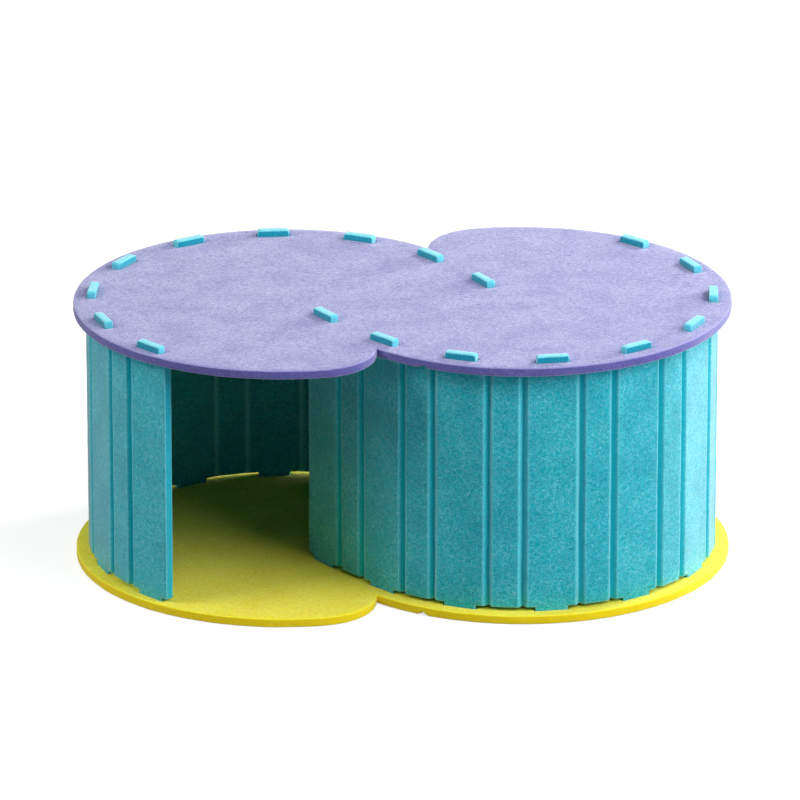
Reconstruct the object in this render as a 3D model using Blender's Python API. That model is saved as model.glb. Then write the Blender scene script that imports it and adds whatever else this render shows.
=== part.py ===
"""Cat tunnel of four felt boards: a base, a roof and two grooved walls.

Metres, +Z up. The origin is on the floor, under the middle of the tunnel. Base and roof have
the same figure-eight outline, made of two round lobes. Each wall is one strip of felt board
with V-grooves on its outer side, folded into an open ring about the centre of its lobe. The
tabs on its two long edges stand in slots of the base and the roof. Both walls are the same
piece, and face opposite ways, which leaves a doorway at the front left and one at the back
right, and an S-shaped passage between them.
"""

import math
from collections import namedtuple

import bmesh
import bpy
from mathutils import Matrix, Vector

# Felt board and the fit of its joints
FELT = 0.009
FIT_GAP = 0.0003
SLOT_END_PLAY = 0.001
CUT_OVERRUN = 0.004
WELD_DISTANCE = 0.000001

# Wall strip, measured along its outer face, and how far its lower edge clears the base
WIDE_PANEL = 0.0495
NARROW_PANEL = 0.027
WALL_HEIGHT = 0.248
WALL_LIFT = 0.0035
GROOVE_MOUTH = 0.0083
GROOVE_DEPTH = 0.0065
GROOVE_ROOT = 0.0012

# Tabs, one at each end of every wide panel, and how far the upper ones stand above the roof
TAB_WIDTH = 0.0325
TAB_STAND = 0.0065
TAB_CORNER = 0.0015

# Folds, from the strip's end inside the tunnel to its end at the doorway
WIDE_PANEL_COUNT = 9
FOLD = math.radians(13.5)
INNER_END_FOLD = math.radians(5.0)
OUTER_END_FOLD = math.radians(11.0)

# Turn of each wall about its lobe, as the direction that its middle wide panel faces
RIGHT_WALL_TURN = math.radians(-56.5)
LEFT_WALL_TURN = math.radians(119.0)

# Figure-eight outline of base and roof
RIM_MARGIN = 0.014
LOBE_SPACING = 0.238
CORNER_RADIUS = 0.063
CORNER_LAP = 0.016

# Small V-nick in the lower edge of each board, on the front of the right lobe
NICK_WIDTH = 0.011
NICK_HEIGHT = 0.0045
NICK_DEPTH = 0.006
NICK_ANGLE = math.radians(-120.0)

# Fineness of the curves, and the angle from which an edge of a board shows as sharp
RIM_STEP = math.radians(3.0)
CORNER_STEP = math.radians(6.0)
TAB_CORNER_SEGMENTS = 3
SHARP_ANGLE = math.radians(20.0)

# Felt colours, linear
TURQUOISE = (0.045, 0.365, 0.430)
LAVENDER = (0.490, 0.480, 0.770)
YELLOW = (0.860, 0.760, 0.110)
FELT_ROUGHNESS = 0.95

# Sizes that follow
NARROW_PANEL_COUNT = WIDE_PANEL_COUNT - 1
LOWER_TAB = FELT + WALL_LIFT
UPPER_TAB = FIT_GAP + FELT + TAB_STAND
WALL_RADIUS = (
    WIDE_PANEL / 2 * math.cos(FOLD) + GROOVE_MOUTH * math.cos(FOLD / 2) + NARROW_PANEL / 2
) / math.sin(FOLD)
LOBE_RADIUS = WALL_RADIUS + RIM_MARGIN
ROOF_BOTTOM = LOWER_TAB + WALL_HEIGHT + FIT_GAP
ROOF_TOP = ROOF_BOTTOM + FELT
RIGHT_LOBE = Vector((LOBE_SPACING / 2, 0))
LEFT_LOBE = -RIGHT_LOBE
WALL_PLACES = {
    "right_wall": (RIGHT_LOBE, RIGHT_WALL_TURN),
    "left_wall": (LEFT_LOBE, LEFT_WALL_TURN),
}

Panel = namedtuple("Panel", "start end heading wide")


def remove_objects():
    """Empty the scene."""
    for item in list(bpy.data.objects):
        bpy.data.objects.remove(item, do_unlink=True)


def along(angle):
    """Unit vector in the plan, at an angle from +X."""
    return Vector((math.cos(angle), math.sin(angle)))


def left_of(angle):
    """Unit vector in the plan, square to a heading and on its left."""
    return Vector((-math.sin(angle), math.cos(angle)))


def angle_of(vector):
    """Angle of a plan vector from +X."""
    return math.atan2(vector.y, vector.x)


def felt_material(name, colour):
    """Matt felt of one colour."""
    material = bpy.data.materials.new(name)
    material.use_nodes = True
    shader = material.node_tree.nodes["Principled BSDF"]
    shader.inputs["Base Color"].default_value = (*colour, 1.0)
    shader.inputs["Roughness"].default_value = FELT_ROUGHNESS
    shader.inputs["Metallic"].default_value = 0.0
    material.diffuse_color = (*colour, 1.0)
    return material


def new_object(name, bm, material=None):
    """Turn a bmesh into an object of the scene."""
    bmesh.ops.recalc_face_normals(bm, faces=bm.faces)
    mesh = bpy.data.meshes.new(name)
    bm.to_mesh(mesh)
    bm.free()
    if material is not None:
        mesh.materials.append(material)
    item = bpy.data.objects.new(name, mesh)
    bpy.context.scene.collection.objects.link(item)
    return item


def copy_of(item, name):
    """Another object with the same mesh."""
    twin = bpy.data.objects.new(name, item.data)
    bpy.context.scene.collection.objects.link(twin)
    return twin


def hide_cutter(item):
    """Keep a cutter out of the model."""
    item.hide_render = True
    item.display_type = "WIRE"


def cut_with(item, cutter):
    """Subtract a cutter from an object."""
    modifier = item.modifiers.new(cutter.name, "BOOLEAN")
    modifier.operation = "DIFFERENCE"
    modifier.solver = "EXACT"
    modifier.object = cutter


def raise_faces(bm, faces, height):
    """Extrude faces straight up or down and return the moved ones."""
    edges = {edge for face in faces for edge in face.edges}
    raised = bmesh.ops.extrude_face_region(bm, geom=list(faces) + list(edges))["geom"]
    corners = [part for part in raised if isinstance(part, bmesh.types.BMVert)]
    bmesh.ops.translate(bm, vec=(0, 0, height), verts=corners)
    return [part for part in raised if isinstance(part, bmesh.types.BMFace)]


# Wall strip

def strip_folds():
    """Fold angle at each groove, from the inner end of the strip to the outer end."""
    folds = [FOLD] * (2 * NARROW_PANEL_COUNT)
    folds[:2] = [INNER_END_FOLD] * 2
    folds[-2:] = [OUTER_END_FOLD] * 2
    return folds


def strip_panels():
    """Outer faces of the panels in plan, about the centre of the lobe.

    The middle wide panel faces +X and touches the wall's circle at its middle. The others
    follow it both ways, a groove and half a fold away on each side. Both end pairs fold less,
    so the strip's ends stand a little straighter than the circle.
    """
    folds = strip_folds()
    count = len(folds) + 1
    middle = count // 2
    headings = [0.0] * count
    headings[middle] = math.pi / 2
    for index in range(middle + 1, count):
        headings[index] = headings[index - 1] + folds[index - 1]
    for index in range(middle - 1, -1, -1):
        headings[index] = headings[index + 1] - folds[index]

    panels = [None] * count
    widths = [WIDE_PANEL if index % 2 == 0 else NARROW_PANEL for index in range(count)]
    point = Vector((WALL_RADIUS, -WIDE_PANEL / 2))
    for index in range(middle, count):
        end = point + along(headings[index]) * widths[index]
        panels[index] = Panel(point, end, headings[index], index % 2 == 0)
        if index < len(folds):
            point = end + along(headings[index] + folds[index] / 2) * GROOVE_MOUTH
    for index in range(middle - 1, -1, -1):
        across = along(headings[index] + folds[index] / 2) * GROOVE_MOUTH
        end = panels[index + 1].start - across
        start = end - along(headings[index]) * widths[index]
        panels[index] = Panel(start, end, headings[index], index % 2 == 0)
    return panels


def fold_points(before, after):
    """Two root points of the groove between two panels, and the inner crease behind it."""
    half_fold = (after.heading - before.heading) / 2
    bisector = before.heading + half_fold
    mouth = (before.end + after.start) / 2
    root = mouth + left_of(bisector) * GROOVE_DEPTH
    half_root = along(bisector) * GROOVE_ROOT / 2
    ridge = mouth - left_of(bisector) * (GROOVE_MOUTH / 2 * math.tan(half_fold))
    crease = ridge + left_of(bisector) * (FELT / math.cos(half_fold))
    return root - half_root, root + half_root, crease


def tab_edges(panel):
    """Outer and inner ends of the tab on a wide panel, in plan."""
    middle = (panel.start + panel.end) / 2
    half = along(panel.heading) * TAB_WIDTH / 2
    across = left_of(panel.heading) * FELT
    return middle - half, middle + half, middle + half + across, middle - half + across


def strip_cells():
    """Plan of the strip as faces that share their edges, and which of them carry a tab."""
    panels = strip_panels()
    folds = [fold_points(before, after) for before, after in zip(panels, panels[1:])]
    cells = []
    for index, panel in enumerate(panels):
        inner = left_of(panel.heading) * FELT
        before = [folds[index - 1][2], folds[index - 1][1]] if index > 0 else [panel.start + inner]
        after = [folds[index][0], folds[index][2]] if index < len(folds) else [panel.end + inner]
        if panel.wide:
            outer_start, outer_end, inner_end, inner_start = tab_edges(panel)
            cells.append((before + [panel.start, outer_start, inner_start], False))
            cells.append(([outer_start, outer_end, inner_end, inner_start], True))
            cells.append(([outer_end, panel.end] + after + [inner_end], False))
        else:
            cells.append((before + [panel.start, panel.end] + after, False))
    cells.extend((list(fold), False) for fold in folds)
    return cells


def round_tab_tips(bm, tips):
    """Round the two upright corners of each tab where it ends."""
    edges = set()
    for tip in tips:
        short = sorted(tip.edges, key=lambda edge: edge.calc_length())[:2]
        edges.update(short)
    bmesh.ops.bevel(
        bm, geom=list(edges), offset=TAB_CORNER, segments=TAB_CORNER_SEGMENTS,
        profile=0.5, affect="EDGES",
    )


def wall_mesh():
    """A wall about the upright axis of its lobe, with its tab ends on the floor."""
    bm = bmesh.new()
    tab_layer = bm.faces.layers.int.new("tab")
    for outline, has_tab in strip_cells():
        corners = [bm.verts.new((point.x, point.y, LOWER_TAB)) for point in outline]
        face = bm.faces.new(corners)
        face[tab_layer] = int(has_tab)
    bmesh.ops.remove_doubles(bm, verts=bm.verts, dist=WELD_DISTANCE)
    floor_faces = list(bm.faces)
    roof_faces = raise_faces(bm, floor_faces, WALL_HEIGHT)
    lower = [face for face in floor_faces if face[tab_layer]]
    upper = [face for face in roof_faces if face[tab_layer]]
    tips = raise_faces(bm, upper, UPPER_TAB) + raise_faces(bm, lower, -LOWER_TAB)
    round_tab_tips(bm, tips)
    return bm


# Base and roof

def circles_meet(first, first_radius, second, second_radius, left):
    """Where two circles cross, on the left or the right of the way from first to second."""
    way = second - first
    distance = way.length
    run = (distance ** 2 + first_radius ** 2 - second_radius ** 2) / (2 * distance)
    rise = math.sqrt(first_radius ** 2 - run ** 2)
    side = 1 if left else -1
    return first + way * (run / distance) + left_of(angle_of(way)) * rise * side


def arc(centre, radius, start, end, step):
    """Points of an arc that runs counter-clockwise, without its last one."""
    sweep = (end - start) % (2 * math.pi)
    count = max(2, math.ceil(sweep / step))
    return [centre + along(start + sweep * index / count) * radius for index in range(count)]


def board_outline():
    """Figure-eight rim, counter-clockwise.

    Each lobe is a circle up to a small round corner, which curls inside it and meets the
    circle of the other lobe in a notch.
    """
    own_reach = LOBE_RADIUS - CORNER_RADIUS
    other_reach = LOBE_RADIUS + CORNER_RADIUS - CORNER_LAP
    corner = circles_meet(RIGHT_LOBE, own_reach, LEFT_LOBE, other_reach, left=False)
    back_notch = circles_meet(corner, CORNER_RADIUS, LEFT_LOBE, LOBE_RADIUS, left=False)
    corner_start = angle_of(corner - RIGHT_LOBE)
    lobe_start = angle_of(-back_notch - RIGHT_LOBE)
    corner_end = angle_of(back_notch - corner)
    half = arc(RIGHT_LOBE, LOBE_RADIUS, lobe_start, corner_start, RIM_STEP)
    half += arc(corner, CORNER_RADIUS, corner_start, corner_end, CORNER_STEP)
    return half + [-point for point in half]


def board(name, height, material, cutters):
    """Figure-eight board with its slots and its nick."""
    bm = bmesh.new()
    rim = bm.faces.new([bm.verts.new((point.x, point.y, 0)) for point in board_outline()])
    raise_faces(bm, [rim], FELT)
    item = new_object(name, bm, material)
    item.data.shade_smooth()
    item.data.set_sharp_from_angle(angle=SHARP_ANGLE)
    item.location.z = height
    for cutter in cutters:
        cut_with(item, cutter)
    return item


def add_box(bm, size, place):
    """Add a box to a bmesh, of a given size and at a given place."""
    bmesh.ops.create_cube(bm, size=1.0, matrix=place @ Matrix.Diagonal((*size, 1.0)))


def slot_cutter():
    """One box for each slot, tall enough for base and roof together."""
    bm = bmesh.new()
    height = ROOF_TOP + 2 * CUT_OVERRUN
    size = (TAB_WIDTH + 2 * SLOT_END_PLAY, FELT + 2 * FIT_GAP, height)
    for lobe, turn in WALL_PLACES.values():
        wall = Matrix.Translation((*lobe, ROOF_TOP / 2)) @ Matrix.Rotation(turn, 4, "Z")
        for panel in strip_panels():
            if panel.wide:
                middle = (panel.start + panel.end) / 2 + left_of(panel.heading) * FELT / 2
                place = Matrix.Translation((*middle, 0)) @ Matrix.Rotation(panel.heading, 4, "Z")
                add_box(bm, size, wall @ place)
    item = new_object("slot_cutter", bm)
    hide_cutter(item)
    return item


def nick_cutter(name, height):
    """Wedge that cuts a V upward into the lower edge of a board."""
    bm = bmesh.new()
    slope = NICK_WIDTH / 2 / NICK_HEIGHT
    half_width = NICK_WIDTH / 2 + CUT_OVERRUN * slope
    profile = ((-half_width, -CUT_OVERRUN), (half_width, -CUT_OVERRUN), (0, NICK_HEIGHT))
    start = LOBE_RADIUS - NICK_DEPTH
    near = bm.faces.new([bm.verts.new((start, side, up)) for side, up in profile])
    raised = bmesh.ops.extrude_face_region(bm, geom=[near])["geom"]
    corners = [part for part in raised if isinstance(part, bmesh.types.BMVert)]
    bmesh.ops.translate(bm, vec=(NICK_DEPTH + CUT_OVERRUN, 0, 0), verts=corners)
    item = new_object(name, bm)
    item.location = (*RIGHT_LOBE, height)
    item.rotation_euler.z = NICK_ANGLE
    hide_cutter(item)
    return item


# Assembly

def build():
    """Make the four boards of the tunnel, each in its place."""
    remove_objects()
    turquoise = felt_material("wall_felt", TURQUOISE)
    lavender = felt_material("roof_felt", LAVENDER)
    yellow = felt_material("base_felt", YELLOW)

    slots = slot_cutter()
    board("base_board", 0, yellow, (slots, nick_cutter("base_nick_cutter", 0)))
    board("roof_board", ROOF_BOTTOM, lavender, (slots, nick_cutter("roof_nick_cutter", ROOF_BOTTOM)))

    wall = None
    for name, (lobe, turn) in WALL_PLACES.items():
        wall = new_object(name, wall_mesh(), turquoise) if wall is None else copy_of(wall, name)
        wall.location = (*lobe, 0)
        wall.rotation_euler.z = turn


build()
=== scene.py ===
"""Looks of the cat tunnel: four felt boards with soft rounded edges and heathered fibres.

Metres, +Z up, in the CAD's frame. Every board is a flat slab first, in board coordinates: along,
across and depth. Base and roof use it as it lies. A wall's slab is as long as the strip, gets its
grooves, and is then folded into its ring. Board coordinates stay on the mesh for the felt
pattern, so fibres lie in the sheet, also on the cut edges.
"""

import math
from collections import namedtuple

import bpy
import numpy as np
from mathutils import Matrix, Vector, noise
from mathutils.geometry import delaunay_2d_cdt


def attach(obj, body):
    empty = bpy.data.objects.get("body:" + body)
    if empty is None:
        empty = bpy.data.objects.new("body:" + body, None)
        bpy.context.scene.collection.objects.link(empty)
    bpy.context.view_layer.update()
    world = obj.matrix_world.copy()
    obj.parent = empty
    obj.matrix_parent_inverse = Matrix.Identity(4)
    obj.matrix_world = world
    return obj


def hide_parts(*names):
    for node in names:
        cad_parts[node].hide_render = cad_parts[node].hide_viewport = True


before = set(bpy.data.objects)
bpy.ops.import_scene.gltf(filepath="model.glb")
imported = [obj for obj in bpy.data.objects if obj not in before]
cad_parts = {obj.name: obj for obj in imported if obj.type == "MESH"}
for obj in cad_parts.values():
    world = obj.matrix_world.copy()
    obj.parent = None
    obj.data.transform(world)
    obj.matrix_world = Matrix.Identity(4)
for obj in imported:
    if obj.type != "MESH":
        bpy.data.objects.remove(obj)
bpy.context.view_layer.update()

# Sizes of the real boards, the same as in the CAD
FELT = 0.009
FIT_GAP = 0.0003
SLOT_END_PLAY = 0.001
WIDE_PANEL = 0.0495
NARROW_PANEL = 0.027
WALL_HEIGHT = 0.248
WALL_LIFT = 0.0035
GROOVE_MOUTH = 0.0083
GROOVE_DEPTH = 0.0065
GROOVE_ROOT = 0.0012
TAB_WIDTH = 0.0325
TAB_STAND = 0.0065
WIDE_PANEL_COUNT = 9
END_FOLD_COUNT = 2
FOLD = math.radians(13.5)
INNER_END_FOLD = math.radians(5.0)
OUTER_END_FOLD = math.radians(11.0)
RIGHT_WALL_TURN = math.radians(-56.5)
LEFT_WALL_TURN = math.radians(119.0)
RIM_MARGIN = 0.014
LOBE_SPACING = 0.238
CORNER_RADIUS = 0.063
CORNER_LAP = 0.016
NICK_WIDTH = 0.011
NICK_HEIGHT = 0.0045
NICK_DEPTH = 0.006
NICK_ANGLE = math.radians(-120.0)

# Sizes that follow
NARROW_PANEL_COUNT = WIDE_PANEL_COUNT - 1
LOWER_TAB = FELT + WALL_LIFT
UPPER_TAB = FIT_GAP + FELT + TAB_STAND
WALL_TOP = LOWER_TAB + WALL_HEIGHT
TAB_TOP = WALL_TOP + UPPER_TAB
WALL_RADIUS = (
    WIDE_PANEL / 2 * math.cos(FOLD) + GROOVE_MOUTH * math.cos(FOLD / 2) + NARROW_PANEL / 2
) / math.sin(FOLD)
LOBE_RADIUS = WALL_RADIUS + RIM_MARGIN
BASE_BOTTOM = 0.0
ROOF_BOTTOM = WALL_TOP + FIT_GAP
RIGHT_LOBE = np.array((LOBE_SPACING / 2, 0.0))
LEFT_LOBE = -RIGHT_LOBE

# Softness of the felt: edges and corners rounder than in the CAD, groove lips and creases
EDGE_ROUND = 0.0013
SLOT_ROUND = 0.0006
TAB_CORNER = 0.0026
TAB_ROOT_ROUND = 0.0005
END_CORNER = 0.0017
SLOT_CORNER = 0.0008
LIP_SOFTNESS = 0.0022
CREASE_SOFTNESS = 0.004

# Fuzz beside groove lips, lightened as a painted highlight, and painted highlight along the inner
# creases. On the tabs that stand in the roof's slots, painted shade on their faces and painted
# highlight on their cut ends
LIP_FUZZ_HIGHLIGHT = 0.0010
CREASE_HIGHLIGHT_WIDTH = 0.0034
LIP_FUZZ_HIGHLIGHT_SHARE = 0.5
TAB_SHADE_SHARE = 0.75
TAB_CUT_HIGHLIGHT_SHARE = 0.65
TAB_PAINT_START = WALL_TOP + FELT / 2

# Shares of the felt's thickness that count as its outer and inner skin, and the share of a
# groove's depth from which its flank takes the full colour painted for the groove's shade
OUTER_SKIN_SHARE = 0.2
INNER_SKIN_SHARE = 0.8
GROOVE_SHADE_DEPTH_SHARE = 0.45

# Wander of the felt: length of a wave, how far it moves a point or what share it adds, and the
# step that sets its seed apart from the board's. The noise's own seed makes each run the same.
Wander = namedtuple("Wander", "length reach seed_step")
GRID_WANDER = Wander(0.004, 0.0012, 0)
BOARD_WAVES = Wander(0.016, 0.00022, 0)
BOARD_RIPPLES = Wander(0.006, 0.00010, 3)
RIM_RIPPLES = Wander(0.0045, 0.00026, 5)
WALL_WAVES = Wander(0.014, 0.00024, 0)
WALL_RIPPLES = Wander(0.005, 0.00010, 3)
GROOVE_LINE_WAVES = Wander(0.05, 0.0004, 0)
GROOVE_DEPTH_WAVES = Wander(0.03, 0.10, 2)
MOVE_SEED_SHARES = (1.0, 2.7, 5.1)
SWELL_SEED_SHARES = (1.0, 3.1, 4.3)
WANDER_SEED = 7

# Seeds of the pieces, so that no two have the same wander and fibres
BASE_SEED, ROOF_SEED = 11.0, 23.0
LEFT_WALL_SEED, RIGHT_WALL_SEED = 37.0, 53.0

# Fineness of the meshes
RIM_SPACING = 0.0024
BOARD_SPACING = 0.0062
BOARD_GRID_GAP = BOARD_SPACING / 2
SLOT_SPACING = 0.003
PANEL_SPACING = 0.0058
ROW_SPACING = 0.0062
TAB_SPACING = 0.0022
STRIP_STEP = 0.00025
GROOVE_COLUMNS = (0.0, 0.0005, 0.0011, 0.0019, 0.0027, 0.0034, 0.0040, 0.0046, 0.0053, 0.0064)
COLUMN_DECIMALS = 6
ROUND_SEGMENTS = 4
CUT_ROWS = 4
LEAST_BEND_COSINE = 0.5
WELD_DISTANCE = 1e-7
POINTS_AT_ONCE = 1000

Panel = namedtuple("Panel", "start end heading wide")
Strip = namedtuple("Strip", "stations outer inner depth grooves length")
Slab = namedtuple("Slab", "points cut arris groove rub faces")


# Plan of the boards, as in the CAD

def along(angle):
    """Unit vector in the plan, at an angle from +X."""
    return np.array((math.cos(angle), math.sin(angle)))


def left_of(angle):
    """Unit vector in the plan, square to a heading and on its left."""
    return np.array((-math.sin(angle), math.cos(angle)))


def angle_of(vector):
    """Angle of a plan vector from +X."""
    return math.atan2(vector[1], vector[0])


def turned(points, angle):
    """Plan points turned about the origin."""
    cosine, sine = math.cos(angle), math.sin(angle)
    return points @ np.array(((cosine, sine), (-sine, cosine)))


def strip_panels():
    """Outer faces of a wall's panels in plan, about the centre of its lobe."""
    folds = [FOLD] * (2 * NARROW_PANEL_COUNT)
    folds[:END_FOLD_COUNT] = [INNER_END_FOLD] * END_FOLD_COUNT
    folds[-END_FOLD_COUNT:] = [OUTER_END_FOLD] * END_FOLD_COUNT
    count = len(folds) + 1
    middle = count // 2
    headings = [0.0] * count
    headings[middle] = math.pi / 2
    for index in range(middle + 1, count):
        headings[index] = headings[index - 1] + folds[index - 1]
    for index in range(middle - 1, -1, -1):
        headings[index] = headings[index + 1] - folds[index]

    panels = [None] * count
    widths = [WIDE_PANEL if index % 2 == 0 else NARROW_PANEL for index in range(count)]
    point = np.array((WALL_RADIUS, -WIDE_PANEL / 2))
    for index in range(middle, count):
        end = point + along(headings[index]) * widths[index]
        panels[index] = Panel(point, end, headings[index], index % 2 == 0)
        if index < len(folds):
            point = end + along(headings[index] + folds[index] / 2) * GROOVE_MOUTH
    for index in range(middle - 1, -1, -1):
        across = along(headings[index] + folds[index] / 2) * GROOVE_MOUTH
        end = panels[index + 1].start - across
        start = end - along(headings[index]) * widths[index]
        panels[index] = Panel(start, end, headings[index], index % 2 == 0)
    return panels


def circles_meet(first, first_radius, second, second_radius):
    """Where two circles cross, on the right of the way from first to second."""
    way = second - first
    distance = np.linalg.norm(way)
    run = (distance ** 2 + first_radius ** 2 - second_radius ** 2) / (2 * distance)
    rise = math.sqrt(first_radius ** 2 - run ** 2)
    return first + way * (run / distance) - left_of(angle_of(way)) * rise


def arc(centre, radius, start, end):
    """Points of an arc that runs counter-clockwise, without its last one."""
    sweep = (end - start) % (2 * math.pi)
    count = math.ceil(sweep * radius / RIM_SPACING)
    return [centre + along(start + sweep * index / count) * radius for index in range(count)]


def board_outline():
    """Figure-eight rim, counter-clockwise."""
    own_reach = LOBE_RADIUS - CORNER_RADIUS
    other_reach = LOBE_RADIUS + CORNER_RADIUS - CORNER_LAP
    corner = circles_meet(RIGHT_LOBE, own_reach, LEFT_LOBE, other_reach)
    back_notch = circles_meet(corner, CORNER_RADIUS, LEFT_LOBE, LOBE_RADIUS)
    corner_start = angle_of(corner - RIGHT_LOBE)
    lobe_start = angle_of(-back_notch - RIGHT_LOBE)
    corner_end = angle_of(back_notch - corner)
    half = arc(RIGHT_LOBE, LOBE_RADIUS, lobe_start, corner_start)
    half += arc(corner, CORNER_RADIUS, corner_start, corner_end)
    return np.array(half + [-point for point in half])


def corner_bend(before, corner, after, radius):
    """Points round a corner between two others, rounded by a radius."""
    backwards, forwards = before - corner, after - corner
    backwards /= np.linalg.norm(backwards)
    forwards /= np.linalg.norm(forwards)
    both = backwards + forwards
    opening = math.acos(max(-1.0, min(1.0, float(backwards @ forwards))))
    cut = radius / math.tan(opening / 2)
    centre = corner + both / np.linalg.norm(both) * (radius / math.sin(opening / 2))
    start = corner + backwards * cut - centre
    end = corner + forwards * cut - centre
    side = 1.0 if start[0] * end[1] - start[1] * end[0] > 0 else -1.0
    swing = side * (math.pi - opening)
    steps = [step / ROUND_SEGMENTS for step in range(ROUND_SEGMENTS + 1)]
    return [centre + turned(start, swing * step) for step in steps]


def rounded(corners, radii, spacing):
    """Closed outline through rounded corners, with points along its straight sides."""
    count = len(corners)
    bends = [corner_bend(corners[index - 1], corners[index], corners[(index + 1) % count], radii[index])
             for index in range(count)]
    outline = []
    for bend, following in zip(bends, bends[1:] + bends[:1]):
        outline.extend(bend)
        start, end = bend[-1], following[0]
        pieces = max(1, round(np.linalg.norm(end - start) / spacing))
        outline.extend(start + (end - start) * step / pieces for step in range(1, pieces))
    return np.array(outline)


def slot_outlines():
    """Slots of base and roof, clockwise."""
    slots = []
    half = np.array((TAB_WIDTH / 2 + SLOT_END_PLAY, FELT / 2 + FIT_GAP))
    corners = [half * sign for sign in ((-1, -1), (-1, 1), (1, 1), (1, -1))]
    shape = rounded(corners, [SLOT_CORNER] * len(corners), SLOT_SPACING)
    for lobe, turn in ((RIGHT_LOBE, RIGHT_WALL_TURN), (LEFT_LOBE, LEFT_WALL_TURN)):
        for panel in strip_panels():
            if panel.wide:
                middle = (panel.start + panel.end) / 2 + left_of(panel.heading) * FELT / 2
                slots.append(turned(turned(shape, panel.heading) + middle, turn) + lobe)
    return slots


# Slabs with rounded edges

def inset(loop, distance):
    """A loop moved into the material: leftwards of the way round."""
    ahead = np.roll(loop, -1, axis=0) - loop
    ahead /= np.linalg.norm(ahead, axis=1)[:, None]
    normal = np.stack((-ahead[:, 1], ahead[:, 0]), axis=1)
    both = normal + np.roll(normal, 1, axis=0)
    both /= np.linalg.norm(both, axis=1)[:, None]
    stretch = np.maximum((both * normal).sum(axis=1), LEAST_BEND_COSINE)
    return loop + both * (distance / stretch)[:, None]


def inside(points, loops):
    """Which points lie in the outline and in none of its holes."""
    result = np.zeros(len(points), bool)
    for loop in loops:
        start, end = loop, np.roll(loop, -1, axis=0)
        rise = np.where(end[:, 1] == start[:, 1], 1.0, end[:, 1] - start[:, 1])
        for first in range(0, len(points), POINTS_AT_ONCE):
            part = slice(first, first + POINTS_AT_ONCE)
            x, y = points[part, 0:1], points[part, 1:2]
            spans = (start[None, :, 1] > y) != (end[None, :, 1] > y)
            cross = start[:, 0] + (y - start[:, 1]) * (end[:, 0] - start[:, 0]) / rise
            result[part] ^= (np.sum(spans & (x < cross), axis=1) % 2).astype(bool)
    return result


def clearance(points, loops):
    """Distance of each point from the nearest corner point of the loops."""
    corners = np.concatenate(loops)
    result = np.empty(len(points))
    for first in range(0, len(points), POINTS_AT_ONCE):
        part = slice(first, first + POINTS_AT_ONCE)
        result[part] = np.linalg.norm(points[part, None] - corners[None], axis=2).min(axis=1)
    return result


def skin(face_loops, grid):
    """Points of a board's flat face, and the triangles between them, which face up."""
    flat = np.concatenate(face_loops + [grid])
    edges = []
    first = 0
    for loop in face_loops:
        count = len(loop)
        edges.extend((first + index, first + (index + 1) % count) for index in range(count))
        first += count
    made, _, triangles, sources, _, _ = delaunay_2d_cdt(
        [Vector(point) for point in flat], edges, [], 0, WELD_DISTANCE)
    if len(made) != len(flat):
        raise RuntimeError("points of the board fell together")
    source = np.array([origin[0] for origin in sources])
    triangles = source[np.array(triangles)]
    triangles = triangles[inside(flat[triangles].mean(axis=1), face_loops)]
    a, b, c = (flat[triangles[:, index]] for index in range(3))
    area = (b[:, 0] - a[:, 0]) * (c[:, 1] - a[:, 1]) - (b[:, 1] - a[:, 1]) * (c[:, 0] - a[:, 0])
    triangles[area < 0] = triangles[area < 0][:, ::-1]
    return flat, triangles


def edge_rows(radius):
    """Rows of a rounded edge from face to face: inset, depth, and shares of cut and arris."""
    upper = []
    # the arris share, largest on the rounding's middle, marks its fuzz, which the felt lightens as a
    # painted highlight
    for step in range(1, ROUND_SEGMENTS + 1):
        bend = math.pi / 2 * step / ROUND_SEGMENTS
        upper.append((radius * (1 - math.sin(bend)), radius * (1 - math.cos(bend)),
                      step / ROUND_SEGMENTS, math.sin(2 * bend)))
    middle = [(0.0, radius + (FELT - 2 * radius) * step / CUT_ROWS, 1.0, 0.0)
              for step in range(1, CUT_ROWS)]
    lower = [(distance, FELT - depth, cut, arris) for distance, depth, cut, arris in reversed(upper)]
    return upper + middle + lower


def slab(loops, rounding, grid, grid_gap):
    """A board with rounded edges as points along, across and deep, and its faces.

    The first loop is the outline, counter-clockwise, and the others are holes, clockwise. cut is
    1 on the sawn edge, and arris is 1 on the middle of each rounding.
    """
    face_loops = [inset(loop, radius) for loop, radius in zip(loops, rounding)]
    grid = grid[inside(grid, face_loops)]
    grid = grid[clearance(grid, face_loops) > grid_gap]
    flat, triangles = skin(face_loops, grid)
    count = len(flat)
    points = [np.column_stack((flat, np.full(count, depth))) for depth in (0.0, FELT)]
    cut = [np.zeros(2 * count)]
    arris = [np.zeros(2 * count)]
    faces = triangles.tolist() + (triangles[:, ::-1] + count).tolist()
    first, total = 0, 2 * count
    for loop, radius in zip(loops, rounding):
        size = len(loop)
        starts = [first]
        for distance, depth, cut_share, arris_share in edge_rows(radius):
            points.append(np.column_stack((inset(loop, distance), np.full(size, depth))))
            cut.append(np.full(size, cut_share))
            arris.append(np.full(size, arris_share))
            starts.append(total)
            total += size
        starts.append(first + count)
        for upper, lower in zip(starts, starts[1:]):
            for index in range(size):
                following = (index + 1) % size
                faces.append((lower + index, lower + following, upper + following, upper + index))
        first += size
    return Slab(np.concatenate(points), np.concatenate(cut), np.concatenate(arris),
                np.zeros(total), np.zeros(total), faces)


def unevenness(points, wander, seed):
    """Small smooth moves of points, in all three directions."""
    shift = Vector([(seed + wander.seed_step) * share for share in MOVE_SEED_SHARES])
    moves = [noise.noise_vector(Vector(point) / wander.length + shift) for point in points]
    return np.array(moves) * wander.reach


def swell(points, wander, seed):
    """Small smooth numbers that change from place to place."""
    shift = Vector([(seed + wander.seed_step) * share for share in SWELL_SEED_SHARES])
    numbers = [noise.noise(Vector(point) / wander.length + shift) for point in points]
    return np.array(numbers) * wander.reach


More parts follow.
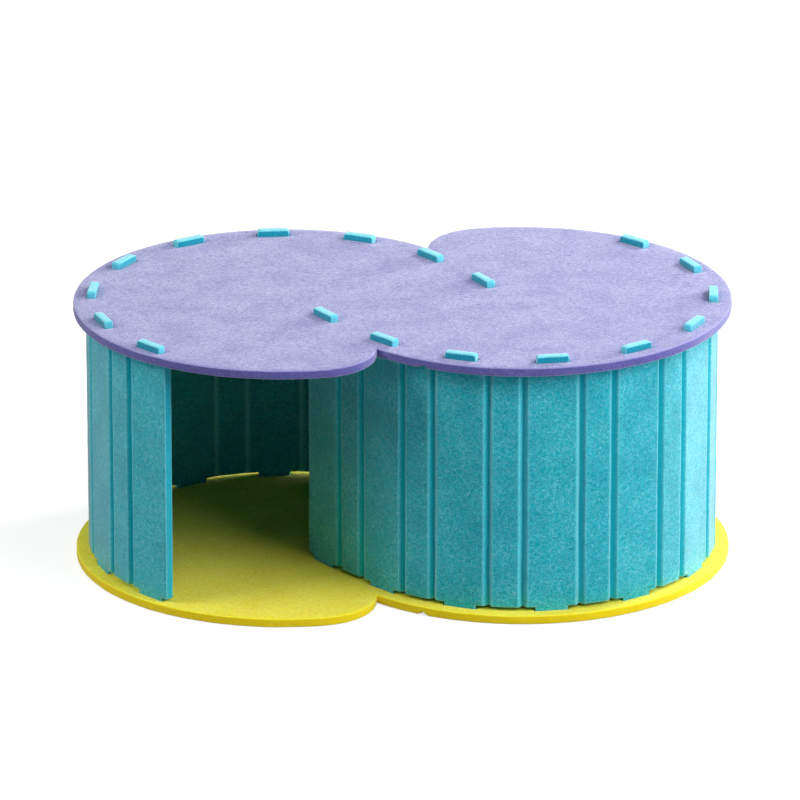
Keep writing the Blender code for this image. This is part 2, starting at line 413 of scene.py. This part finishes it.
def piece(name, shape, places, seed, material, body, node):
    """Make the object that stands for a CAD node. The seed shifts its felt pattern."""
    mesh = bpy.data.meshes.new(name)
    mesh.from_pydata(places.tolist(), [], shape.faces)
    mesh.materials.append(material)
    mesh.shade_smooth()
    for label in ("cut", "arris", "groove", "rub"):
        layer = mesh.attributes.new(label, "FLOAT", "POINT")
        layer.data.foreach_set("value", getattr(shape, label).astype(np.float32))
    layer = mesh.attributes.new("board", "FLOAT_VECTOR", "POINT")
    layer.data.foreach_set("vector", (shape.points + (seed, 0, 0)).astype(np.float32).ravel())
    item = bpy.data.objects.new(name, mesh)
    bpy.context.scene.collection.objects.link(item)
    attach(item, body)
    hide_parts(node)


# Base and roof

def board_grid(seed):
    """Points over the whole board in offset rows, a little uneven."""
    reach = LOBE_RADIUS + LOBE_SPACING / 2
    across = np.arange(-reach, reach, BOARD_SPACING)
    up = np.arange(-reach, reach, BOARD_SPACING * math.sqrt(3) / 2)
    grid = np.array([(x + (row % 2) * BOARD_SPACING / 2, y)
                     for row, y in enumerate(up) for x in across])
    moves = unevenness(np.column_stack((grid, np.zeros(len(grid)))), GRID_WANDER, seed)
    return grid + moves[:, :2]


def nick_rise(plan):
    """How far the small nick under the right lobe's front lifts the lower edge at plan points."""
    local = turned(plan - RIGHT_LOBE, -NICK_ANGLE)
    sideways = np.abs(local[:, 1]) / (NICK_WIDTH / 2)
    in_reach = local[:, 0] > LOBE_RADIUS - NICK_DEPTH
    return NICK_HEIGHT * np.clip(1 - sideways, 0, 1) * in_reach


def board(name, bottom, seed, material, body, node):
    """A figure-eight board with slots, a nick in its lower edge and an even underside."""
    loops = [board_outline()] + slot_outlines()
    rounding = [EDGE_ROUND] + [SLOT_ROUND] * (len(loops) - 1)
    shape = slab(loops, rounding, board_grid(seed), BOARD_GRID_GAP)
    flat = shape.points
    # depth runs down from the upper face
    places = np.column_stack((flat[:, :2], bottom + FELT - flat[:, 2]))
    places += unevenness(flat, BOARD_WAVES, seed) + unevenness(flat, BOARD_RIPPLES, seed)
    rim = shape.cut[:, None] * unevenness(flat, RIM_RIPPLES, seed)
    places[:, :2] += rim[:, :2]
    places[:, 2] = np.maximum(places[:, 2], bottom + nick_rise(places[:, :2]))
    piece(name, shape, places, seed, material, body, node)


# Walls

def softened(values, width):
    """Values of the strip's fine table, averaged over a width along the strip."""
    values = np.array(values, float)
    count = max(1, round(width / STRIP_STEP)) | 1
    pad = np.pad(values, ((count // 2, count // 2),) + ((0, 0),) * (values.ndim - 1), "edge")
    total = np.cumsum(pad, axis=0)
    total = np.concatenate((np.zeros_like(total[:1]), total))
    return (total[count:] - total[:-count]) / count


def panel_rows(panel, position, first, last):
    """Rows of the fine table over a panel: place on the strip, outer and inner point, depth."""
    way, inward = along(panel.heading), left_of(panel.heading) * FELT
    rows = []
    for run in np.arange(first, last, STRIP_STEP):
        point = panel.start + way * run
        rows.append((position + run, *point, *(point + inward), 0.0))
    return rows


def groove_rows(panel, following, position):
    """Rows of the fine table over the groove between a panel and the following one."""
    half_fold = (following.heading - panel.heading) / 2
    middle = (panel.end + following.start) / 2
    away = left_of(panel.heading + half_fold)
    crease = middle + away * (FELT / math.cos(half_fold) - GROOVE_MOUTH / 2 * math.tan(half_fold))
    left_end = panel.end + left_of(panel.heading) * FELT
    right_end = following.start + left_of(following.heading) * FELT
    rows = []
    for run in np.arange(0.0, GROOVE_MOUTH, STRIP_STEP):
        share = run / GROOVE_MOUTH
        point = panel.end + (following.start - panel.end) * share
        if share < 0.5:
            back = left_end + (crease - left_end) * share * 2
        else:
            back = crease + (right_end - crease) * (share * 2 - 1)
        off = abs(run - GROOVE_MOUTH / 2)
        slope = (GROOVE_MOUTH / 2 - off) / (GROOVE_MOUTH / 2 - GROOVE_ROOT / 2)
        rows.append((position + run, *point, *back, GROOVE_DEPTH * min(1.0, slope)))
    return rows


def strip_table():
    """The strip as a fine table, with soft groove lips and creases."""
    panels = strip_panels()
    overrun = CREASE_SOFTNESS * 2
    position = 0.0
    rows, grooves = [], []
    for index, panel in enumerate(panels):
        width = np.linalg.norm(panel.end - panel.start)
        first = -overrun if index == 0 else 0.0
        last = width + overrun if index == len(panels) - 1 else width
        rows += panel_rows(panel, position, first, last)
        position += width
        if index + 1 < len(panels):
            rows += groove_rows(panel, panels[index + 1], position)
            grooves.append(position + GROOVE_MOUTH / 2)
            position += GROOVE_MOUTH
    table = np.array(rows)
    depth = softened(softened(table[:, 5], LIP_SOFTNESS), LIP_SOFTNESS / 2)
    return Strip(table[:, 0], softened(table[:, 1:3], LIP_SOFTNESS),
                 softened(table[:, 3:5], CREASE_SOFTNESS), depth, grooves, position)


def strip_columns(strip):
    """Distances along the strip where the mesh has its columns, closer together at the grooves."""
    columns = set()
    for groove in strip.grooves:
        columns.update(round(groove + side * offset, COLUMN_DECIMALS)
                       for offset in GROOVE_COLUMNS for side in (-1, 1))
    ordered = sorted(columns)
    for start, end in zip([0.0] + ordered, ordered + [strip.length]):
        if end - start > GROOVE_MOUTH / 2:
            pieces = math.ceil((end - start) / PANEL_SPACING)
            columns.update(round(start + (end - start) * step / pieces, COLUMN_DECIMALS)
                           for step in range(1, pieces))
    return sorted(column for column in columns if 0 < column < strip.length)


def tab_corners(centre, first_side, root, end):
    """Corners of a tab with their radii, from the root on its first side to the other root."""
    near, far = centre + first_side * TAB_WIDTH / 2, centre - first_side * TAB_WIDTH / 2
    return [((near, root), TAB_ROOT_ROUND), ((near, end), TAB_CORNER),
            ((far, end), TAB_CORNER), ((far, root), TAB_ROOT_ROUND)]


def side_shares(start, end, columns):
    """Shares of a straight side at which its outline gets more points."""
    way = end - start
    size = np.linalg.norm(way)
    if size < 2 * TAB_SPACING:
        return []
    if abs(way[1]) < abs(way[0]):
        low, high = sorted((start[0], end[0]))
        stops = [column for column in columns
                 if low + TAB_SPACING / 2 < column < high - TAB_SPACING / 2]
        return sorted((column - start[0]) / way[0] for column in stops)
    pieces = round(size / (ROW_SPACING if size > WALL_HEIGHT / 2 else TAB_SPACING))
    return [step / pieces for step in range(1, pieces)]


def wall_outline(columns, length):
    """Outline of the strip laid flat, with its tabs, counter-clockwise."""
    centres = []
    position = 0.0
    for _ in range(WIDE_PANEL_COUNT):
        centres.append(position + WIDE_PANEL / 2)
        position += WIDE_PANEL + NARROW_PANEL + 2 * GROOVE_MOUTH
    marks = [((0.0, LOWER_TAB), END_CORNER)]
    for centre in centres:
        marks += tab_corners(centre, -1, LOWER_TAB, 0.0)
    marks += [((length, LOWER_TAB), END_CORNER), ((length, WALL_TOP), END_CORNER)]
    for centre in reversed(centres):
        marks += tab_corners(centre, 1, WALL_TOP, TAB_TOP)
    marks.append(((0.0, WALL_TOP), END_CORNER))
    corners = [np.array(corner) for corner, _ in marks]
    outline = rounded(corners, [radius for _, radius in marks], length)

    dense = []
    for start, end in zip(outline, np.roll(outline, -1, axis=0)):
        dense.append(start)
        dense.extend(start + (end - start) * share for share in side_shares(start, end, columns))
    return np.array(dense)


def fuzz_and_painted_light(shape, groove, lines):
    """The slab with its painted marks: a share of a colour painted for the groove flanks' shade, fuzz
    at the lips lightened as a painted highlight, painted highlight along the inner creases, and on the
    tabs in the roof painted shade on the faces and painted highlight on the cut ends.
    """
    stretch, height, deep = shape.points[:, 0], shape.points[:, 1], shape.points[:, 2] / FELT
    outer_skin, inner_skin = deep < OUTER_SKIN_SHARE, deep > INNER_SKIN_SHARE
    arris = shape.arris
    for line in lines:
        off = np.abs(stretch - line)
        # fuzz beside each groove lip, lightened as a painted highlight
        beside = (off - GROOVE_MOUTH / 2 - LIP_FUZZ_HIGHLIGHT / 2) / LIP_FUZZ_HIGHLIGHT
        lip_highlight = LIP_FUZZ_HIGHLIGHT_SHARE * np.exp(-beside ** 2) * outer_skin
        # painted highlight along the inner crease
        crease = np.exp(-(off / CREASE_HIGHLIGHT_WIDTH) ** 2) * inner_skin
        arris = np.maximum(arris, np.maximum(lip_highlight, crease))
    # share of the colour painted for the groove flanks' shade, saturated and without red
    groove_shade = np.clip(groove / (GROOVE_SHADE_DEPTH_SHARE * GROOVE_DEPTH), 0, 1) * outer_skin
    # painted shade on the tabs' faces above the roof
    on_tab = height > TAB_PAINT_START
    rub = TAB_SHADE_SHARE * on_tab * (1 - shape.cut)
    # painted highlight on the tabs' cut tops and ends above the roof
    arris = np.maximum(arris, TAB_CUT_HIGHLIGHT_SHARE * on_tab * shape.cut)
    return shape._replace(arris=arris, groove=groove_shade, rub=rub)


def wall(name, lobe, turn, seed, material, body, node):
    """A grooved strip, folded into its open ring."""
    strip = strip_table()
    columns = strip_columns(strip)
    rows = np.linspace(0, TAB_TOP, round(TAB_TOP / ROW_SPACING))
    grid = np.array([(column, row) for column in columns for row in rows])
    shape = slab([wall_outline(columns, strip.length)], [EDGE_ROUND], grid, EDGE_ROUND)

    flat = shape.points
    stretch, height, deep = flat[:, 0], flat[:, 1], flat[:, 2] / FELT
    surface = np.column_stack((stretch, height, np.zeros(len(flat))))
    groove_place = stretch + swell(surface, GROOVE_LINE_WAVES, seed)
    groove = np.interp(groove_place, strip.stations, strip.depth)
    groove *= 1 + swell(flat, GROOVE_DEPTH_WAVES, seed)
    front, back = (
        np.stack([np.interp(stretch, strip.stations, face[:, axis]) for axis in (0, 1)], axis=1)
        for face in (strip.outer, strip.inner))
    share = groove / FELT + deep * (1 - groove / FELT)
    plan = turned(front + (back - front) * share[:, None], turn) + lobe
    places = np.column_stack((plan, height))
    places += unevenness(flat, WALL_WAVES, seed) + unevenness(flat, WALL_RIPPLES, seed)
    places[:, 2] = np.maximum(places[:, 2], 0.0)
    piece(name, fuzz_and_painted_light(shape, groove, strip.grooves), places, seed, material, body, node)


# Nodes of materials

class Nodes:
    """Short way to add and link the nodes of one material."""

    def __init__(self, tree):
        self.tree = tree

    def add(self, kind, **values):
        node = self.tree.nodes.new(kind)
        for key, value in values.items():
            setattr(node, key, value)
        return node

    def feed(self, socket, value):
        if isinstance(value, bpy.types.NodeSocket):
            self.tree.links.new(value, socket)
        else:
            socket.default_value = value

    def maths(self, operation, *values, clamp=False):
        node = self.add("ShaderNodeMath", operation=operation, use_clamp=clamp)
        for socket, value in zip(node.inputs, values):
            self.feed(socket, value)
        return node.outputs[0]

    def vectors(self, operation, *values):
        node = self.add("ShaderNodeVectorMath", operation=operation)
        for socket, value in zip(node.inputs, values):
            self.feed(socket, value)
        return node.outputs[0]

    def scaled(self, vector, factor):
        node = self.add("ShaderNodeVectorMath", operation="SCALE")
        self.feed(node.inputs[0], vector)
        node.inputs["Scale"].default_value = factor
        return node.outputs[0]

    def attribute(self, name, output="Fac"):
        return self.add("ShaderNodeAttribute", attribute_name=name).outputs[output]

    def noise(self, vector, grain, output="Fac"):
        node = self.add("ShaderNodeTexNoise", noise_dimensions="3D")
        self.feed(node.inputs["Vector"], vector)
        node.inputs["Scale"].default_value = grain.scale
        node.inputs["Detail"].default_value = grain.detail
        node.inputs["Roughness"].default_value = grain.rough
        return node.outputs[output]

    def spread(self, value, low, high, to_low=0.0, to_high=1.0):
        node = self.add("ShaderNodeMapRange", interpolation_type="SMOOTHSTEP")
        for socket, number in zip(node.inputs, (value, low, high, to_low, to_high)):
            self.feed(socket, number)
        return node.outputs[0]

    def blend(self, factor, first, second):
        node = self.add("ShaderNodeMix", data_type="RGBA")
        self.feed(node.inputs["Factor"], factor)
        colours = [socket for socket in node.inputs if socket.type == "RGBA"]
        self.feed(colours[0], first)
        self.feed(colours[1], second)
        return next(socket for socket in node.outputs if socket.type == "RGBA")


# Felt

# Noises of the felt pattern: waves per metre of board, detail and roughness. The streak's noise
# lies in space that a fibre layer stretches.
Grain = namedtuple("Grain", "scale detail rough")
FINE_GRAIN = Grain(720.0, 2.0, 0.60)
TUFT_GRAIN = Grain(230.0, 2.0, 0.55)
MOTTLE_GRAIN = Grain(95.0, 1.0, 0.50)
BEND_GRAIN = Grain(90.0, 1.0, 0.50)
CLOUD_GRAIN = Grain(24.0, 2.0, 0.50)
STREAK_GRAIN = Grain(1.0, 1.0, 0.50)

# Fibre layers: angle in the sheet in degrees, then width and length of a fibre tuft. Bends come
# from a noise, taken from its middle.
FIBRE_LAYERS = ((12.0, 0.00085, 0.0072), (58.0, 0.00095, 0.0080), (101.0, 0.00080, 0.0068),
                (149.0, 0.00090, 0.0076))
FIBRE_BEND = 0.010
NOISE_MIDDLE = (0.5, 0.5, 0.5)

# How values become shares: from and to, then the shares there where they aren't 0 and 1
FIBRE_SPREAD = (0.56, 0.74)
TUFT_DARK_SPREAD = (0.36, 0.64, 0.0, 0.42)
FINE_DARK_SPREAD = (0.36, 0.64, 0.0, 0.58)
MOTTLE_DARK_SPREAD = (0.30, 0.70, -0.08, 0.08)
CLOUD_DARK_SPREAD = (0.30, 0.70, -0.17, 0.15)
FINE_LIGHT_SPREAD = (0.35, 0.60, 0.28, 0.58)
CLOUD_LIGHT_SPREAD = (0.30, 0.70, 1.35, 0.75)
CUT_SPREAD = (0.30, 1.0)
FINE_CUT_SPREAD = (0.35, 0.65, 1.0, 0.60)
FINE_FUZZ_HIGHLIGHT_SPREAD = (0.30, 0.65, 0.40, 0.90)
ROUGHNESS_SPREAD = (0.3, 0.7, 0.88, 0.98)
# Share of the colour painted for the groove flanks' shade
GROOVE_SHADE_SHARE = 0.9

# Relief of fibres, tufts and fine fuzz, and the shine of all felts
FIBRE_RELIEF, TUFT_RELIEF, FINE_RELIEF = 0.55, 0.7, 0.6
BUMP_STRENGTH = 0.55
BUMP_DEPTH = 0.00035
FELT_SPECULAR = 0.18

# Colours of a felt: of its body, its dark and light fibres, its cut edge, its arrises and lips (fuzz
# lightened as a painted highlight, which also lights its creases and tab ends), its sheen, and where a
# board has them the colour painted for its groove flanks' shade and the painted shade on its tab faces
Felt = namedtuple("Felt", "name base dark light cut arris sheen sheen_roughness sheen_tint groove rub",
                  defaults=(None, None))
TURQUOISE = Felt(
    "turquoise_felt", base=(0.006, 0.500, 0.622, 1), dark=(0.000, 0.305, 0.405, 1),
    light=(0.260, 0.750, 0.840, 1), cut=(0.001, 0.430, 0.600, 1), arris=(0.260, 0.820, 0.920, 1),
    sheen=1.00, sheen_roughness=0.39, sheen_tint=(0.90, 0.97, 1.0, 1),
    groove=(0.000, 0.540, 0.660, 1), rub=(0.000, 0.290, 0.420, 1))
LAVENDER = Felt(
    "lavender_felt", base=(0.248, 0.240, 0.530, 1), dark=(0.105, 0.098, 0.360, 1),
    light=(0.545, 0.535, 0.750, 1), cut=(0.098, 0.094, 0.365, 1), arris=(0.340, 0.325, 0.650, 1),
    sheen=0.85, sheen_roughness=0.38, sheen_tint=(0.94, 0.97, 1.0, 1))
YELLOW = Felt(
    "yellow_felt", base=(0.900, 0.815, 0.016, 1), dark=(0.800, 0.620, 0.002, 1),
    light=(1.000, 0.990, 0.260, 1), cut=(1.000, 0.740, 0.001, 1), arris=(1.000, 0.900, 0.050, 1),
    sheen=0.55, sheen_roughness=0.36, sheen_tint=(1.0, 0.98, 0.70, 1))


def fibre_streaks(nodes, board_place):
    """Bent fibre tufts in several directions in the sheet, as one share."""
    bend = nodes.noise(board_place, BEND_GRAIN, "Color")
    bend = nodes.vectors("SUBTRACT", bend, NOISE_MIDDLE)
    place = nodes.vectors("ADD", board_place, nodes.scaled(bend, FIBRE_BEND))
    fibres = None
    for angle, width, length in FIBRE_LAYERS:
        mapping = nodes.add("ShaderNodeMapping", vector_type="TEXTURE")
        nodes.feed(mapping.inputs["Vector"], place)
        mapping.inputs["Rotation"].default_value = (0, 0, math.radians(angle))
        mapping.inputs["Scale"].default_value = (length, width, width)
        streak = nodes.spread(nodes.noise(mapping.outputs[0], STREAK_GRAIN), *FIBRE_SPREAD)
        fibres = streak if fibres is None else nodes.maths("MAXIMUM", fibres, streak)
    return fibres


def heather(nodes, look, fibres, fine, tufts, board_place):
    """Colour of the felt's skin: dark tufts and light fibres in soft clouds."""
    mottle = nodes.noise(board_place, MOTTLE_GRAIN)
    clouds = nodes.noise(board_place, CLOUD_GRAIN)
    dark_share = nodes.maths("ADD", nodes.spread(tufts, *TUFT_DARK_SPREAD),
                             nodes.spread(fine, *FINE_DARK_SPREAD))
    dark_share = nodes.maths("ADD", dark_share, nodes.spread(mottle, *MOTTLE_DARK_SPREAD))
    dark_share = nodes.maths("ADD", dark_share, nodes.spread(clouds, *CLOUD_DARK_SPREAD), clamp=True)
    colour = nodes.blend(dark_share, look.base, look.dark)
    light_share = nodes.maths("MULTIPLY", fibres, nodes.spread(fine, *FINE_LIGHT_SPREAD))
    light_share = nodes.maths("MULTIPLY", light_share, nodes.spread(clouds, *CLOUD_LIGHT_SPREAD))
    return nodes.blend(light_share, colour, look.light)


def relief(nodes, fibres, tufts, fine):
    """Normal of the felt's fibrous surface."""
    height = nodes.maths("ADD", nodes.maths("MULTIPLY", fibres, FIBRE_RELIEF),
                         nodes.maths("MULTIPLY", tufts, TUFT_RELIEF))
    height = nodes.maths("ADD", height, nodes.maths("MULTIPLY", fine, FINE_RELIEF))
    bump = nodes.add("ShaderNodeBump")
    bump.inputs["Strength"].default_value = BUMP_STRENGTH
    bump.inputs["Distance"].default_value = BUMP_DEPTH
    nodes.feed(bump.inputs["Height"], height)
    return bump.outputs[0]


def felt(look):
    """Needled felt of one colour, heathered with darker and lighter fibres."""
    material = bpy.data.materials.new(look.name)
    material.use_nodes = True
    nodes = Nodes(material.node_tree)
    shader = nodes.tree.nodes["Principled BSDF"]
    board_place = nodes.attribute("board", "Vector")
    fibres = fibre_streaks(nodes, board_place)
    fine = nodes.noise(board_place, FINE_GRAIN)
    tufts = nodes.noise(board_place, TUFT_GRAIN)

    colour = heather(nodes, look, fibres, fine, tufts, board_place)
    cut_share = nodes.maths("MULTIPLY", nodes.spread(nodes.attribute("cut"), *CUT_SPREAD),
                            nodes.spread(fine, *FINE_CUT_SPREAD))
    colour = nodes.blend(cut_share, colour, look.cut)
    # colour painted for the shade of the groove flanks: saturated, without red
    if look.groove:
        groove_shade_share = nodes.maths("MULTIPLY", nodes.attribute("groove"), GROOVE_SHADE_SHARE)
        colour = nodes.blend(groove_shade_share, colour, look.groove)
    # painted shade on the tab faces above the roof
    if look.rub:
        colour = nodes.blend(nodes.attribute("rub"), colour, look.rub)
    # fuzz on arrises and lips lightened as a painted highlight, with painted highlights along creases
    # and on tab ends
    fuzz_and_highlight = nodes.maths("MULTIPLY", nodes.attribute("arris"), nodes.spread(fine, *FINE_FUZZ_HIGHLIGHT_SPREAD))
    colour = nodes.blend(fuzz_and_highlight, colour, look.arris)

    nodes.feed(shader.inputs["Base Color"], colour)
    nodes.feed(shader.inputs["Normal"], relief(nodes, fibres, tufts, fine))
    nodes.feed(shader.inputs["Roughness"], nodes.spread(fine, *ROUGHNESS_SPREAD))
    shader.inputs["Specular IOR Level"].default_value = FELT_SPECULAR
    shader.inputs["Sheen Weight"].default_value = look.sheen
    shader.inputs["Sheen Roughness"].default_value = look.sheen_roughness
    shader.inputs["Sheen Tint"].default_value = look.sheen_tint
    return material


# Camera, surroundings and lamps

# The photograph's view, from far away with a long lens. Azimuth 0 looks along +Y.
CAMERA_AZIMUTH = math.radians(-1.899)
CAMERA_ELEVATION = math.radians(20.557)
CAMERA_DISTANCE = 42.30 * LOBE_RADIUS
CAMERA_AIM = Vector((0, 0, 0.135))
CAMERA_SIGHT = 60.0
SENSOR_WIDTH = 36.0
PHOTO_WIDTH = 800
FOCAL_PIXELS = 8846
SHIFT_PIXELS = (-2.60, 23.45)

# The floor lies just under the base. Its glow is full white away from the tunnel.
WHITE = (1.0, 1.0, 1.0, 1.0)
WORLD_LIGHT = 0.02
FLOOR_COLOUR = (0.38, 0.38, 0.38, 1.0)
FLOOR_REACH = 9.0
FLOOR_DROP = 0.0006
FLOOR_GLOW = 0.72
FLOOR_LIT = (0.9, 2.6)

# Lamps: azimuth from +X and elevation in degrees, distance, diameter, power and colour
LAMP_AIM = Vector((0, 0, 0.14))
LAMPS = (
    ("key", 32.0, 32.0, 1.8, 0.42, 18.0, (1.0, 0.985, 0.95)),
    ("key_low", 31.0, 6.0, 3.0, 1.0, 66.0, (1.0, 0.99, 0.97)),
    ("right_low", -30.0, 12.0, 2.0, 1.3, 3.0, (0.97, 0.985, 1.0)),
    ("right_sky", -33.0, 35.0, 3.0, 2.4, 78.0, (0.97, 0.99, 1.0)),
    ("front_high", -84.0, 60.0, 3.0, 1.6, 18.0, (1.0, 1.0, 1.0)),
    ("left_sky", -174.0, 34.0, 3.0, 1.8, 50.0, (1.0, 0.985, 0.95)),
    ("back_sky", 110.0, 40.0, 3.0, 2.4, 8.0, (1.0, 1.0, 1.0)),
)


def placed(name, data, away, aim, distance):
    """Link a camera or lamp that looks at its aim from a direction and distance."""
    item = bpy.data.objects.new(name, data)
    item.location = aim + away * distance
    item.rotation_euler = away.to_track_quat("Z", "Y").to_euler()
    bpy.context.scene.collection.objects.link(item)
    return item


def camera():
    """Camera of the photograph's view."""
    data = bpy.data.cameras.new("camera")
    data.sensor_width = SENSOR_WIDTH
    data.lens = SENSOR_WIDTH * FOCAL_PIXELS / PHOTO_WIDTH
    data.shift_x, data.shift_y = (shift / PHOTO_WIDTH for shift in SHIFT_PIXELS)
    data.clip_end = CAMERA_SIGHT
    away = Vector((math.sin(CAMERA_AZIMUTH) * math.cos(CAMERA_ELEVATION),
                   -math.cos(CAMERA_AZIMUTH) * math.cos(CAMERA_ELEVATION),
                   math.sin(CAMERA_ELEVATION)))
    bpy.context.scene.camera = placed("camera", data, away, CAMERA_AIM, CAMERA_DISTANCE)


def lamp(name, azimuth, elevation, distance, diameter, power, colour):
    """Soft round lamp that points at the middle of the tunnel."""
    data = bpy.data.lights.new(name, "AREA")
    data.shape = "DISK"
    data.size = diameter
    data.energy = power
    data.color = colour
    azimuth, elevation = math.radians(azimuth), math.radians(elevation)
    away = Vector((math.cos(azimuth) * math.cos(elevation),
                   math.sin(azimuth) * math.cos(elevation), math.sin(elevation)))
    placed(name, data, away, LAMP_AIM, distance)


def seen_plainly(nodes):
    """1 for rays from the camera and for those that gloss and glass send on."""
    path = nodes.add("ShaderNodeLightPath")
    first = nodes.maths("ADD", path.outputs["Is Camera Ray"], path.outputs["Is Glossy Ray"])
    return nodes.maths("ADD", first, path.outputs["Is Transmission Ray"], clamp=True)


def backdrop():
    """White world to the eye, which gives only a little light."""
    world = bpy.data.worlds.new("studio")
    bpy.context.scene.world = world
    world.use_nodes = True
    nodes = Nodes(world.node_tree)
    light = nodes.tree.nodes["Background"]
    light.inputs["Color"].default_value = WHITE
    light.inputs["Strength"].default_value = WORLD_LIGHT
    plain = nodes.add("ShaderNodeBackground")
    plain.inputs["Color"].default_value = WHITE
    plain.inputs["Strength"].default_value = 1.0
    mix = nodes.add("ShaderNodeMixShader")
    nodes.feed(mix.inputs[0], seen_plainly(nodes))
    nodes.feed(mix.inputs[1], light.outputs[0])
    nodes.feed(mix.inputs[2], plain.outputs[0])
    nodes.feed(nodes.tree.nodes["World Output"].inputs["Surface"], mix.outputs[0])


def floor_material():
    """Pale floor that glows to the eye, so that it fades into the backdrop."""
    material = bpy.data.materials.new("floor")
    material.use_nodes = True
    nodes = Nodes(material.node_tree)
    nodes.tree.nodes.remove(nodes.tree.nodes["Principled BSDF"])
    diffuse = nodes.add("ShaderNodeBsdfDiffuse")
    diffuse.inputs["Color"].default_value = FLOOR_COLOUR
    glow = nodes.add("ShaderNodeEmission")
    away = nodes.add("ShaderNodeVectorMath", operation="LENGTH")
    nodes.feed(away.inputs[0], nodes.add("ShaderNodeTexCoord").outputs["Object"])
    far = nodes.spread(away.outputs["Value"], *FLOOR_LIT, FLOOR_GLOW, 1.0)
    nodes.feed(glow.inputs["Strength"], nodes.maths("MULTIPLY", seen_plainly(nodes), far))
    both = nodes.add("ShaderNodeAddShader")
    nodes.feed(both.inputs[0], diffuse.outputs[0])
    nodes.feed(both.inputs[1], glow.outputs[0])
    nodes.feed(nodes.tree.nodes["Material Output"].inputs["Surface"], both.outputs[0])
    return material


def pale_floor():
    """Flat floor that fades into the backdrop."""
    mesh = bpy.data.meshes.new("floor")
    corners = [(x * FLOOR_REACH, y * FLOOR_REACH, -FLOOR_DROP)
               for x, y in ((-1, -1), (1, -1), (1, 1), (-1, 1))]
    mesh.from_pydata(corners, [], [(0, 1, 2, 3)])
    mesh.materials.append(floor_material())
    floor = bpy.data.objects.new("floor", mesh)
    bpy.context.scene.collection.objects.link(floor)


# Scene

noise.seed_set(WANDER_SEED)
camera()
backdrop()
pale_floor()
for settings in LAMPS:
    lamp(*settings)
bpy.context.scene.view_settings.view_transform = "Standard"

turquoise, lavender, yellow = (felt(look) for look in (TURQUOISE, LAVENDER, YELLOW))
board("base_board_felt", BASE_BOTTOM, BASE_SEED, yellow, "base", "base_board")
board("roof_board_felt", ROOF_BOTTOM, ROOF_SEED, lavender, "roof", "roof_board")
wall("left_wall_felt", LEFT_LOBE, LEFT_WALL_TURN, LEFT_WALL_SEED, turquoise, "left_wall",
     "left_wall")
wall("right_wall_felt", RIGHT_LOBE, RIGHT_WALL_TURN, RIGHT_WALL_SEED, turquoise, "right_wall",
     "right_wall")

bpy.context.view_layer.update()
